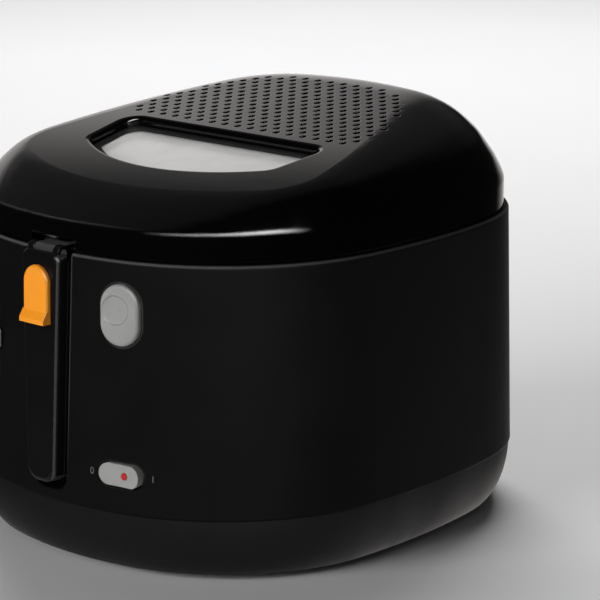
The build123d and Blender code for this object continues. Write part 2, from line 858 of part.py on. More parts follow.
def lid_shell():
    """Domed lid with the window recess, the vent grille, the filter collar and the screw bosses."""
    shell = lid_outer - lid_form(lid_wall, lid_bottom - 1)
    inner_bound = lid_form(0.5)
    collar = on_lid_top(window_face(-lid_wall), 1, window_collar)
    chamber = on_lid_top(filter_face(filter_collar_wall), lid_wall / 2, 2 * filter_collar)
    collar += on_lid_top(filter_face(), 1, filter_collar) - chamber
    shell += collar & inner_bound
    for turn in boss_turns:
        x, y = plan_point(turn, -boss_inset)
        boss = Pos(x, y, frame_top + seat_gap) * Cylinder(boss_radius, 60, align=BOTTOM)
        shell += boss & inner_bound
        hole = frame_top + lid_screw_length
        shell -= Pos(x, y, seam) * Cylinder(screw_shank_radius + pin_play, hole - seam, align=BOTTOM)
    shell -= on_lid_top(window_face(), -20, window_collar - window_sill)
    shell -= on_lid_top(window_face(window_ledge), -20, 40)
    rim = [edge for edge in shell.edges() if on_window_rim(edge)]
    shell = fillet(rim, window_rim_radius)
    holes = Sketch() + [Pos(*point) * RegularPolygon(grille_hole_radius, 6) for point in grille_points()]
    shell -= on_lid_top(holes, -lid_band, filter_pad_top)
    notch = lid_notch_height + lid_gap
    shell -= Pos(0, -front_reach, lid_bottom - lid_gap) * Box(2 * channel_half_top, 30, notch, align=BOTTOM)
    arm_top = frame_top + hinge_arm_sheet + part_gap
    slot = Box(2 * (knuckle_half_width + part_gap), 20, arm_top - seam, align=BOTTOM)
    shell -= Pos(0, back_reach, seam) * slot
    return shell


def on_window_rim(edge):
    """True for an edge of the window's mouth on the lid's top plane."""
    points = [lid_top.to_local_coords(edge.position_at(part)) for part in (0.0, 0.5, 1.0)]
    flat = all(abs(point.Z) < 0.01 for point in points)
    across = all(abs(point.X) < window_half_back + 1 for point in points)
    along = all(-(window_length + window_sag + 1) < point.Y < 1 for point in points)
    return flat and across and along


def pane_bottom():
    """Depth of the pane's underside, on the recess's sill."""
    return window_collar - window_sill - seat_gap


def window_pane():
    return on_lid_top(window_face(pane_margin), pane_bottom() - pane_thickness, pane_bottom())


def window_bezel():
    low = pane_bottom() - pane_thickness - seat_gap
    ring = on_lid_top(window_face(pane_margin), low - bezel_height, low)
    return ring - on_lid_top(window_face(pane_margin + bezel_width), 0, 20)


def filter_pad():
    outline = filter_face(filter_collar_wall + filter_side_gap)
    return on_lid_top(outline, filter_pad_top, filter_pad_top + filter_pad_height)


def filter_cover():
    """Slotted plate that closes the filter chamber from below."""
    top = filter_pad_top + filter_pad_height + seat_gap
    plate = on_lid_top(filter_face(filter_collar_wall + filter_side_gap), top, top + filter_cover_height)
    for column in range(-filter_slot_half_count, filter_slot_half_count + 1):
        slot = Pos(column * filter_slot_pitch, grille_start + filter_slot_length / 2, 0)
        slot = slot * Box(filter_slot_width, filter_slot_length, 4 * filter_collar)
        plate -= lid_top * slot
    return plate


def lid_frame():
    """Flat ring inside the lid that carries the seal, the catch and the hinge arm."""
    outer = lid_inset + lid_wall + 0.4
    ring = slab(-outer, frame_bottom, frame_top) - slab(-outer - frame_width, frame_bottom - 1, frame_top + 1)
    for turn in boss_turns:
        x, y = plan_point(turn, -boss_inset)
        ring -= Pos(x, y, frame_bottom) * Cylinder(screw_shank_radius + pin_play, 20)
    return ring


def lid_seal():
    """Soft ring over the bowl's flange, with a pass for the basket bracket."""
    low = seam + seat_gap + flange_thickness + seal_gap
    top = frame_bottom - seat_gap
    ring = slab(-seal_inset, low, top) - slab(-seal_inset - seal_width, low - 1, top + 1)
    return ring - Pos(0, -front_reach, low - 1) * Box(2 * bracket_half_width + 3, 60, 5, align=BOTTOM)


def lid_screws():
    group = []
    for turn in boss_turns:
        x, y = plan_point(turn, -boss_inset)
        group.append(Pos(x, y, frame_bottom - seat_gap) * screw(lid_screw_length))
    return Compound(children=group)


def hinge_arm():
    """Plate on the lid frame that reaches out through the lid's back to a barrel on the hinge pin."""
    low = frame_top + seat_gap
    wide = knuckle_half_width
    high = low + hinge_arm_sheet
    arm = box_between((-wide, hinge_y - hinge_arm_reach, low), (wide, hinge_y, high))
    arm += box_between((-wide, hinge_y - knuckle_radius, hinge_z), (wide, hinge_y, high))
    arm += rod_x(knuckle_radius, -wide, wide, hinge_y, hinge_z)
    return arm - rod_x(hinge_pin_radius + pin_play, -2 * wide, 2 * wide, hinge_y, hinge_z)


def hinge_bracket():
    """Plate on the back of the body with two lugs for the hinge pin."""
    low = seam - hinge_plate_drop
    bracket = box_between((-lug_outer - 2, back_reach - 10, low), (lug_outer + 2, back_reach + 2.2, seam - 9))
    for side in (-1, 1):
        start = min(side * lug_inner, side * lug_outer)
        end = max(side * lug_inner, side * lug_outer)
        bracket += rod_x(lug_radius, start, end, hinge_y, hinge_z)
        bracket += box_between((start, back_reach - 10, low + 4), (end, hinge_y, hinge_z))
        bracket += box_between((start, hinge_y - lug_radius, hinge_z - 4), (end, hinge_y, hinge_z))
    bracket -= taper(draft + seat_gap, base_seam, seat_gap, seam) + slab(seat_gap, seam, seam + 30)
    bracket -= rod_x(hinge_pin_radius + pin_play, -50, 50, hinge_y, hinge_z)
    for x, z in hinge_screw_places():
        bracket -= Pos(x, back_reach, z) * Rot(90, 0, 0) * Cylinder(screw_shank_radius + pin_play, 30)
        head = Cylinder(screw_head_radius + part_gap, 20, align=BOTTOM)
        bracket -= Pos(x, hinge_head_y(), z) * Rot(-90, 0, 0) * head
    return bracket


def hinge_head_y():
    """Where the hinge screws' heads seat on the plate."""
    return back_reach + 2.2


def hinge_screws():
    group = []
    for x, z in hinge_screw_places():
        group.append(Pos(x, hinge_head_y() + seat_gap, z) * Rot(90, 0, 0) * screw(screw_length))
    return Compound(children=group)


def hinge_pin():
    return rod_x(hinge_pin_radius, -lug_outer - 2, lug_outer + 2, hinge_y, hinge_z)


def lid_springs():
    """Two torsion springs on the hinge pin, one at each side of the arm's barrel."""
    wound = coil(lid_spring_coil_radius, lid_spring_wire, lid_spring_pitch, lid_spring_turns, lid_spring_leg)
    start = knuckle_half_width + 1.2
    right = Pos(start, hinge_y, hinge_z) * Rot(0, 90, 0) * Rot(0, 0, 90) * wound
    return Compound(children=[right, mirror(right, Plane.YZ)])


def cord_gland():
    """Flanged bush in the back wall with a free bore for a cord."""
    y = back_reach + wall_grow(gland_height) + 2 * seat_gap
    bush = Cylinder(gland_flange_radius, gland_flange, align=BOTTOM)
    bush = fillet(bush.faces().sort_by(Axis.Z)[-1].edges(), 1)
    bush += Cylinder(gland_neck_radius, 9, align=(Align.CENTER, Align.CENTER, Align.MAX))
    bush -= Cylinder(gland_bore_radius, 60)
    return Pos(0, y, gland_height) * Rot(-90, 0, 0) * bush


def handle_tip(obj):
    """Lean a handle piece with the drafted wall, about the handle's hinge axis."""
    lean = degrees(atan(draft / wall_height))
    axis = Pos(0, handle_axis_y, handle_axis_z)
    return axis * Rot(-lean, 0, 0) * Pos(0, -handle_axis_y, -handle_axis_z) * obj


def handle_face(shrink=0.0):
    """Tapered outline of the handle, top to bottom, in a plane that faces the front."""
    top = handle_axis_z + 0.4 - shrink
    low = handle_axis_z + 0.4 - handle_length + shrink
    wide = handle_half_top - shrink
    narrow = handle_half_bottom - shrink
    face = make_face(Polyline((-wide, top), (-narrow, low), (narrow, low), (wide, top), close=True))
    face = fillet(face.vertices().sort_by(Axis.Y)[:2], handle_corner_bottom - shrink)
    return fillet(face.vertices().sort_by(Axis.Y)[-2:], handle_corner_top - shrink)


def facing(face, front, back):
    """Prism of a front-facing outline between two Y positions."""
    plane = Plane(origin=(0, back, 0), x_dir=(1, 0, 0), z_dir=(0, -1, 0))
    return plane * extrude(face, amount=back - front, dir=UP)


handle_split = handle_front + handle_thickness - handle_back_share
slider_top = handle_axis_z - slider_top_drop
slider_low = slider_top - slider_height
stem_top = slider_top - 9
stem_low = stem_top - slider_stem_height


def handle_shell():
    """Front half of the handle, hollow, open at the top for the hinge barrel, slotted for the slide catch."""
    shell = facing(handle_face(), handle_front, handle_split - seat_gap)
    rim = shell.faces().sort_by(Axis.Y)[0].edges()
    shell = fillet(rim, handle_edge_radius)
    hollow = facing(handle_face(handle_wall), handle_front + handle_wall, handle_split + 1)
    roof = handle_axis_z - barrel_radius - handle_wall
    hollow -= box_between((-half_width, 2 * handle_front, roof), (half_width, 0, 2 * seam))
    shell -= hollow
    reach = ear_outer + ear_margin
    shell -= rod_x(barrel_radius + barrel_gap, -reach, reach, handle_axis_y, handle_axis_z)
    floor = handle_axis_z - barrel_radius - barrel_gap
    front = handle_axis_y - barrel_radius - barrel_gap
    shell -= box_between((-ear_inner - seat_gap, front, floor), (ear_inner + seat_gap, 0, 2 * seam))
    slot = slider_stem_half_width + 0.5
    low = stem_low - slider_travel - part_gap
    inner = handle_front + handle_wall + 1
    shell -= box_between((-slot, 2 * handle_front, low), (slot, inner, stem_top + part_gap))
    ledge = spring_low() - seat_gap
    shell += box_between((-5, handle_front + 1, ledge - 2), (5, handle_split - seat_gap, ledge))
    return handle_tip(shell)


def spring_low():
    """Height of the lower end of the slide catch's spring."""
    length = slider_spring_pitch * slider_spring_turns + 2 * slider_spring_wire
    return stem_top + 1.5 - slider_shoe_height - seat_gap - length


def handle_back():
    """Rear half of the handle with two hinge ears."""
    back = handle_front + handle_thickness
    plate = facing(handle_face(), handle_split, back)
    plate = fillet(plate.faces().sort_by(Axis.Y)[-1].edges(), 2)
    low = handle_axis_z - barrel_radius - barrel_gap
    plate -= box_between((-half_width, 2 * handle_front, low), (half_width, 0, 2 * seam))
    for side in (-1, 1):
        start = min(side * ear_inner, side * ear_outer)
        end = max(side * ear_inner, side * ear_outer)
        plate += rod_x(barrel_radius + 0.2, start, end, handle_axis_y, handle_axis_z)
        web = handle_axis_z - barrel_radius - 2
        plate += box_between((start, handle_split, web), (end, handle_axis_y + barrel_radius, handle_axis_z))
    plate -= rod_x(handle_pin_radius + 0.06, -50, 50, handle_axis_y, handle_axis_z)
    return handle_tip(plate)


def handle_slider():
    """Slide catch on the handle: arched plate with a finger lip, a stem and a shoe behind the wall."""
    face = make_face(
        [
            Line((-slider_half_width, slider_low), (slider_half_width, slider_low)),
            Line((slider_half_width, slider_low), (slider_half_width, slider_top - slider_half_width)),
            CenterArc((0, slider_top - slider_half_width), slider_half_width, 0, 180),
            Line((-slider_half_width, slider_top - slider_half_width), (-slider_half_width, slider_low)),
        ]
    )
    gap = seat_gap + 0.1
    body = facing(face, handle_front - gap - slider_thickness, handle_front - gap)
    body = fillet(body.faces().sort_by(Axis.Y)[0].edges(), slider_edge_radius)
    lip = make_face(
        Polyline(
            (handle_front - gap - 1, slider_low),
            (handle_front - gap - slider_thickness - slider_lip, slider_low),
            (handle_front - gap - slider_thickness - slider_lip, slider_low + 2.5),
            (handle_front - gap - slider_thickness + 0.2, slider_low + slider_lip_height),
            (handle_front - gap - 1, slider_low + slider_lip_height),
            close=True,
        )
    )
    side = Plane(origin=(-slider_half_width, 0, 0), x_dir=(0, 1, 0), z_dir=(1, 0, 0))
    body += side * extrude(lip, amount=2 * slider_half_width, dir=UP)
    inner = handle_front + handle_wall
    wide = slider_stem_half_width
    shoe = inner + gap + slider_shoe
    body += box_between((-wide, handle_front - gap - 1, stem_low), (wide, shoe, stem_top))
    wide = slider_shoe_half_width
    top = stem_top + 1.5
    body += box_between((-wide, inner + gap, top - slider_shoe_height), (wide, shoe, top))
    return handle_tip(body)


def slider_spring():
    """Compression spring between the slide catch's shoe and the handle's ledge."""
    wound = coil(slider_spring_radius, slider_spring_wire, slider_spring_pitch, slider_spring_turns, 0)
    y = handle_front + handle_wall + slider_spring_radius + 0.6
    return handle_tip(Pos(0, y, spring_low() + slider_spring_wire) * wound)


def basket_mesh():
    """Frying basket with upright slots round its wall and long slots in its floor."""
    low = -(basket_inset + basket_draft)
    form = taper(low, basket_floor, -basket_inset, basket_top)
    form -= taper(low - basket_wall, basket_floor + basket_wall, -basket_inset - basket_wall, basket_top)
    middle = (basket_floor + basket_top) / 2
    cutters = []
    for number in range(slot_count):
        turn = (number + 0.5) * 360 / slot_count
        x, y = plan_point(turn, low + basket_draft / 2)
        cutters.append(Pos(x, y, middle) * Rot(0, 0, turn) * Box(slot_width, 14, slot_length))
    for number in range(floor_slot_count):
        x = (number - (floor_slot_count - 1) / 2) * floor_slot_pitch
        y = (back_reach - front_reach) / 2
        cutters.append(Pos(x, y, basket_floor) * Box(slot_width, floor_slot_length, 6))
    return form - cutters


def basket_rim():
    """Round wire that closes the basket's top edge."""
    z = basket_top + basket_wire_radius + 0.1
    inset = basket_inset + basket_wall / 2
    path = plan_face(-inset, z).face().outer_wire()
    section = Plane(origin=path @ 0, z_dir=path % 0) * RegularPolygon(basket_wire_radius, 8)
    return sweep(section, path=path)


def basket_bracket():
    """Bent bracket: barrel on the handle pin, tongue over the flange, leg down to the basket."""
    wide = bracket_half_width
    top = handle_axis_z + barrel_radius
    low = top - bracket_sheet + 0.2
    leg_back = -(front_reach - basket_inset - basket_wall / 2 + basket_wire_radius + 0.3)
    leg_front = leg_back - bracket_sheet
    bracket = rod_x(barrel_radius, -wide, wide, handle_axis_y, handle_axis_z)
    bracket += box_between((-wide, handle_axis_y, low), (wide, leg_back, top))
    bracket += box_between((-wide, leg_front, top - bracket_leg), (wide, leg_back, top))
    foot = -(front_reach - basket_inset) + 0.4
    bracket += box_between((-wide, leg_front, top - bracket_leg), (wide, foot, top - bracket_leg + 3))
    return bracket - rod_x(handle_pin_radius + pin_play, -50, 50, handle_axis_y, handle_axis_z)


def handle_pin():
    return rod_x(handle_pin_radius, -ear_outer, ear_outer, handle_axis_y, handle_axis_z)


def least_turn_gap(radius, wire_radius, pitch):
    """Least gap between neighbouring turns of a coil, measured on points of two turns."""
    count = 360
    points = []
    for number in range(2 * count + 1):
        angle = 2 * pi * number / count
        points.append((radius * cos(angle), radius * sin(angle), pitch * turn_height(number / count)))
    least = 2 * radius
    for number in range(0, count, 6):
        others = points[number + count // 2 :]
        least = min(least, min(dist(points[number], other) for other in others))
    return least - 2 * wire_radius


def turn_height(turns):
    """Height in pitches of a coil of tilted half circles after some turns."""
    whole = int(2 * turns)
    part = 2 * turns - whole
    return whole / 2 + (1 - cos(pi * part)) / 4


builders = (
    outer_body, base_tray, feet, base_screws, bowl, heating_element, heat_shield, thermal_cutout,
    thermostat_body, terminal_block, switch_housing, cord_gland, hinge_bracket, hinge_pin, hinge_screws,
    lid_springs, latch_pin, latch_spring, lid_shell, window_pane, window_bezel, lid_frame, lid_seal,
    lid_screws, filter_pad, filter_cover, latch_catch, hinge_arm, lid_button, latch_hook, handle_shell,
    handle_back, slider_spring, handle_slider, basket_mesh, basket_rim, basket_bracket, handle_pin,
    power_rocker, lamp_lens, thermostat_slider,
)

pieces = {builder.__name__: builder() for builder in builders}
boxes = [piece.bounding_box() for piece in pieces.values()]
shift = -(min(box.min.Y for box in boxes) + max(box.max.Y for box in boxes)) / 2
os.makedirs("parts", exist_ok=True)
for name, piece in pieces.items():
    export_step(Pos(0, shift, 0) * piece, f"parts/{name}.step")

print("shift in Y", round(shift, 3))
springs = (
    ("lid spring", lid_spring_coil_radius, lid_spring_wire, lid_spring_pitch),
    ("latch spring", latch_spring_radius, latch_spring_wire, latch_spring_pitch),
    ("slider spring", slider_spring_radius, slider_spring_wire, slider_spring_pitch),
)
for name, radius, wire_radius, pitch in springs:
    print("least gap,", name, round(least_turn_gap(radius, wire_radius, pitch), 2))
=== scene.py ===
import json
from math import atan, atan2, cos, degrees, hypot, pi, radians, sin, sqrt

import bpy
import numpy as np
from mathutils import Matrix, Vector


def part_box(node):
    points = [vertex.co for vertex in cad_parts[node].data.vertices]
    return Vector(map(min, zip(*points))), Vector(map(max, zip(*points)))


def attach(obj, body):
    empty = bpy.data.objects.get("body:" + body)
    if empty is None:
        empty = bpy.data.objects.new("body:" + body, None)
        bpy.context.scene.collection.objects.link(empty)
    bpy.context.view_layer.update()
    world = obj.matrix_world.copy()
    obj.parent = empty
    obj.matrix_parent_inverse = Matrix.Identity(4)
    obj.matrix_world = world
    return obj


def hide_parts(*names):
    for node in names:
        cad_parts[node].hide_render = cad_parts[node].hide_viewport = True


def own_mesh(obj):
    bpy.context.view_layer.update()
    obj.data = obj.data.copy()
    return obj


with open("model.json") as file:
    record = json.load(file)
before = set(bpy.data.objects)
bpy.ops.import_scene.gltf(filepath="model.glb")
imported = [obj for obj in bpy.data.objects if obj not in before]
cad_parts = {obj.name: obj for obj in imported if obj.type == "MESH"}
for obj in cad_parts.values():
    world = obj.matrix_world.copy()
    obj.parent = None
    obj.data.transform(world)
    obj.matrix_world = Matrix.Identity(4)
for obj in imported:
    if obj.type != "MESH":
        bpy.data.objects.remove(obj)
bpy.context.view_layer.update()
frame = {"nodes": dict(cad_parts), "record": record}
nodes = frame["nodes"]
record = frame["record"]

# Plan of the body at the lid seam, in metres, as eight tangent arcs
HALF_WIDTH = 0.136
FRONT_REACH = 0.125
BACK_REACH = 0.185
FRONT_RADIUS = 0.207
FRONT_CORNER = 0.114
SIDE_RADIUS = 0.440
BACK_CORNER = 0.112
BACK_RADIUS = 0.400
BASE_SEAM = 0.038
WALL_HEIGHT = 0.1405
DRAFT = 0.003
SEAM = BASE_SEAM + WALL_HEIGHT
PLAN_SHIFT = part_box("outer_body")[1][1] - BACK_REACH - DRAFT

# Basket wires, with the uprights welded to the outside of the rings
BASKET_INSET = 0.0306
BASKET_DRAFT = 0.008
WIRE = 0.0006
WIRE_SIDES = 6
RING_COUNT = 14
RING_POINTS = 300
UPRIGHT_COUNT = 120
UPRIGHT_POINTS = 5
UPRIGHT_OUT = 1.5 * WIRE
GRID_PITCH = 0.0075
GRID_EDGE_POINTS = 2000

# Spring of the slide catch, about an axis that leans with the wall
SPRING_RADIUS = 0.0019
SPRING_WIRE = 0.00035
SPRING_SIDES = 8
SPRING_PITCH = 0.0022
SPRING_TURNS = 8
SPRING_POINTS = 24
SPRING_AXIS = (0.0, 0.021347, 0.999772)

# Printed marks on the wall: ring and bar beside the rocker, ticks beside the thermostat slot
MARK_PROUD = 0.00012
CONTROL_TURN = 14.6
SWITCH_DROP = 0.1188
SWITCH_MARK_AWAY = 0.0192
OFF_HALF_WIDTH = 0.0010
OFF_HALF_HEIGHT = 0.0017
OFF_STROKE = 0.00045
OFF_POINTS = 32
ON_HALF_HEIGHT = 0.0018
ON_STROKE = 0.0005
STROKE_POINTS = 4
THERMOSTAT_DROP = 0.058
TICK_COUNT = 5
TICK_PITCH = 0.010
TICK_OUTER = -0.0165
TICK_INNER = -0.0105
TICK_SHORTENING = 0.0004
TICK_STROKE = 0.0004
TICK_THICKENING = 0.0002

# Lid's lower crease: its height, the band that is softened, and the rounding there
CREASE_HEIGHT = 0.195
CREASE_BAND = 0.006
CREASE_ROUND = 0.0024

# Crown of the lid's top in front of the window, and the dimple in the lid button
CROWN_START = -0.012
CROWN_BEND = 0.35
DIMPLE_PLACE = (0.0494, -0.1535, 0.1515)
DIMPLE_RADIUS = 0.0086
DIMPLE_LIP = 0.0011
DIMPLE_DEPTH = 0.0006

# Painted edge highlights fade in between these heights above the base seam
EDGE_FADE = (0.010, 0.060)

# Rim below the lid seam, where a highlight is painted: its reach, and the upward leans at which its mask
# starts, is full, falls and ends
RIM_REACH = 0.006
RIM_LEAN = (0.20, 0.50, 0.88, 0.97)

# Handle's upright edges, where a highlight is painted: sideways lean of the surface half way round them, and
# how far it may differ
ARRIS_LEAN = 0.70
ARRIS_SPREAD = 0.17

# Shares by which patches and stains change a colour or a roughness, and the span in which most noise lies
NOISE_SPAN = (0.3, 0.7)
PATCH_TINT = (0.88, 1.14)
PATCH_ROUGH = (0.88, 1.12)
STAIN_TINT = (0.86, 1.06)
STAIN_ROUGH = (0.06, -0.04)
DUST_COLOUR = (0.30, 0.29, 0.28, 1.0)

# Floor under the feet
FLOOR_HALF = 6.0
FLOOR_DEPTH = -0.0002

# Lights: place, aim, length and height, power, and the streak box's soft ends and tilt
LIGHT_AIM = (0.0, 0.0, 0.15)
OVERHEAD_PLACE = (-1.2, 1.5, 2.2)
OVERHEAD_AIM = (-0.5, 0.6, 0.0)
OVERHEAD_SIZE = (1.8, 1.4)
OVERHEAD_POWER = 72.0
FILL_PLACE = (-0.35, -3.2, 1.15)
FILL_SIZE = (2.0, 1.3)
FILL_POWER = 84.0
STREAK_PLACE = (1.12, -1.30, 1.15)
STREAK_SIZE = (4.4, 0.42)
STREAK_POWER = 190.0
STREAK_FADE = 0.46
STREAK_ROLL = -18.0

# Surround, by the direction seen: where each soft edge starts and ends, and how bright each patch is
SURROUND_COLOUR = (1.0, 0.965, 0.95, 1.0)
SURROUND_LEVEL = 0.012
PANEL_TOP = (0.50, 0.358)
PANEL_FOOT = (-0.08, 0.02)
PANEL_SIDE = (-0.52, -0.76)
PANEL_BACK = (0.05, 0.35)
PANEL_LEVEL = 1.05
FAR_BACK = (0.30, 0.70)
FAR_SIDE = (-0.10, -0.55)
FAR_TOP = (0.05, -0.05)
FAR_LEVEL = 0.7
CEILING_MIDDLE = (-0.45, 0.50, 0.74)
CEILING_EDGE = (0.68, 0.90)
CEILING_LEVEL = 0.07
GROUND_TOP = (-0.28, -0.50)
GROUND_LEVEL = 0.40
RIGHT_TOP = (-0.26, -0.40)
RIGHT_BACK = (0.20, 0.70)
RIGHT_LEVEL = 1.1

# Camera: solved from the photograph's outline and features
CAMERA_AZIMUTH = 43.47
CAMERA_ELEVATION = 13.25
CAMERA_DISTANCE = 1.7717
CAMERA_LENS = 174.65
CAMERA_SENSOR = 36.0
CAMERA_CLIP = 50.0
CAMERA_TARGET = (-0.02227, 0.09745 + PLAN_SHIFT, (BASE_SEAM + SEAM) / 2)


def corner_centre(end_y, end_radius, corner_radius):
    """Centre of a corner arc that lies tangent inside an end arc and the right side arc."""
    side_x = HALF_WIDTH - SIDE_RADIUS
    reach_end = end_radius - corner_radius
    reach_side = SIDE_RADIUS - corner_radius
    apart = hypot(side_x, end_y)
    along = (reach_end**2 - reach_side**2 + apart**2) / (2 * apart)
    across = sqrt(reach_end**2 - along**2)
    ux, uy = side_x / apart, -end_y / apart
    one = (along * ux - across * uy, end_y + along * uy + across * ux)
    other = (along * ux + across * uy, end_y + along * uy - across * ux)
    return max(one, other)


FRONT_CENTRE = (0.0, FRONT_RADIUS - FRONT_REACH)
BACK_CENTRE = (0.0, BACK_REACH - BACK_RADIUS)
SIDE_CENTRE = (HALF_WIDTH - SIDE_RADIUS, 0.0)
FRONT_CORNER_CENTRE = corner_centre(FRONT_CENTRE[1], FRONT_RADIUS, FRONT_CORNER)
BACK_CORNER_CENTRE = corner_centre(BACK_CENTRE[1], BACK_RADIUS, BACK_CORNER)


def heading(start, end):
    """Polar angle in degrees of the direction from start to end."""
    return degrees(atan2(end[1] - start[1], end[0] - start[0]))


ARCS = (
    (FRONT_CENTRE, FRONT_RADIUS, heading(FRONT_CENTRE, FRONT_CORNER_CENTRE)),
    (FRONT_CORNER_CENTRE, FRONT_CORNER, heading(SIDE_CENTRE, FRONT_CORNER_CENTRE)),
    (SIDE_CENTRE, SIDE_RADIUS, heading(SIDE_CENTRE, BACK_CORNER_CENTRE)),
    (BACK_CORNER_CENTRE, BACK_CORNER, heading(BACK_CENTRE, BACK_CORNER_CENTRE)),
    (BACK_CENTRE, BACK_RADIUS, 90.0),
)


def plan(turn, grow=0.0):
    """Outline points, by how many degrees their outward normals turn from the front towards +X.

    Each point is the centre of the arc that holds its normal, plus the arc's radius along that normal.
    """
    turn = np.asarray(turn, dtype=float) % 360
    side = np.where(turn > 180, -1.0, 1.0)
    polar = np.where(turn > 180, 360 - turn, turn) - 90
    x = np.zeros_like(polar)
    y = np.zeros_like(polar)
    todo = np.ones(polar.shape, dtype=bool)
    for centre, radius, end in ARCS:
        here = todo & (polar <= end + 1e-6)
        angle = np.radians(polar)
        x = np.where(here, centre[0] + (radius + grow) * np.cos(angle), x)
        y = np.where(here, centre[1] + (radius + grow) * np.sin(angle), y)
        todo &= ~here
    return side * x, y + PLAN_SHIFT


# Length along the wall at half height, at turns from the left side round the front to the right side
TURNS = np.linspace(-90, 90, 721)
RUN_X, RUN_Y = plan(TURNS, DRAFT / 2)
RUN = np.concatenate([[0.0], np.cumsum(np.hypot(np.diff(RUN_X), np.diff(RUN_Y)))])


def wall_point(turn, drop, along, up, out):
    """Points on the drafted wall near a turn and a drop below the seam, moved along, up and out of it."""
    lean = atan(DRAFT / WALL_HEIGHT)
    grow = DRAFT * (drop - up) / WALL_HEIGHT
    local = np.interp(np.interp(turn, TURNS, RUN) + np.asarray(along), RUN, TURNS)
    x, y = plan(local, grow + out)
    z = SEAM - drop + np.asarray(up) * cos(lean)
    return np.stack([x, y, z + 0 * x], axis=-1)


# Mesh building

def mesh_object(name, vertices, faces, smooth=True):
    """New object from arrays of points and faces."""
    mesh = bpy.data.meshes.new(name)
    mesh.from_pydata(np.asarray(vertices).tolist(), [], np.asarray(faces).tolist())
    mesh.update()
    mesh.polygons.foreach_set("use_smooth", [smooth] * len(mesh.polygons))
    obj = bpy.data.objects.new(name, mesh)
    bpy.context.scene.collection.objects.link(obj)
    return obj


def tube(points, radius, sides, closed):
    """Round tube: a circle of points square to each point of a line, joined by quads, and capped if open."""
    points = np.asarray(points, dtype=float)
    count = len(points)
    if closed:
        tangent = np.roll(points, -1, 0) - np.roll(points, 1, 0)
    else:
        tangent = np.gradient(points, axis=0)
    tangent /= np.linalg.norm(tangent, axis=1)[:, None]
    # Circles start from a direction that never lies along the line
    guide = np.array([0.0, 0.0, 1.0]) if abs(tangent[:, 2]).max() < 0.7 else np.array([0.31, 0.95, 0.0])
    across = np.cross(tangent, guide)
    across /= np.linalg.norm(across, axis=1)[:, None]
    rise = np.cross(across, tangent)
    turn = np.linspace(0, 2 * pi, sides, endpoint=False)
    ring = across[:, None] * np.cos(turn)[None, :, None] + rise[:, None] * np.sin(turn)[None, :, None]
    vertices = (points[:, None] + radius * ring).reshape(-1, 3)
    steps = count if closed else count - 1
    i, j = np.meshgrid(np.arange(steps), np.arange(sides), indexing="ij")
    here, there = i * sides, (i + 1) % count * sides
    beside = (j + 1) % sides
    faces = np.stack([here + j, there + j, there + beside, here + beside], -1).reshape(-1, 4)
    if not closed:
        cap = np.array([(0, k, k + 1, k + 2) for k in range(1, sides - 2, 2)])
        faces = np.concatenate([faces, cap, (count - 1) * sides + cap[:, ::-1]])
    return vertices, faces


def join(parts):
    """One pair of arrays from several pairs of points and quads."""
    vertices, faces, start = [], [], 0
    for points, quads in parts:
        vertices.append(points)
        faces.append(quads + start)
        start += len(points)
    return np.concatenate(vertices), np.concatenate(faces)


# Node groups and materials

def add(tree, kind, values=None, **settings):
    """Add a node, set its properties and the constants on its sockets."""
    made = tree.nodes.new(kind)
    for key, value in settings.items():
        setattr(made, key, value)
    for key, value in (values or {}).items():
        made.inputs[key].default_value = value
    return made


def new_group(name, inputs, outputs):
    """Empty node group with float inputs, and outputs that are floats apart from a normal."""
    group = bpy.data.node_groups.new(name, "ShaderNodeTree")
    for label, value in inputs.items():
        socket = group.interface.new_socket(label, in_out="INPUT", socket_type="NodeSocketFloat")
        socket.default_value = value
    for label in outputs:
        kind = "NodeSocketVector" if label == "Normal" else "NodeSocketFloat"
        group.interface.new_socket(label, in_out="OUTPUT", socket_type=kind)
    return group, group.nodes.new("NodeGroupInput"), group.nodes.new("NodeGroupOutput")


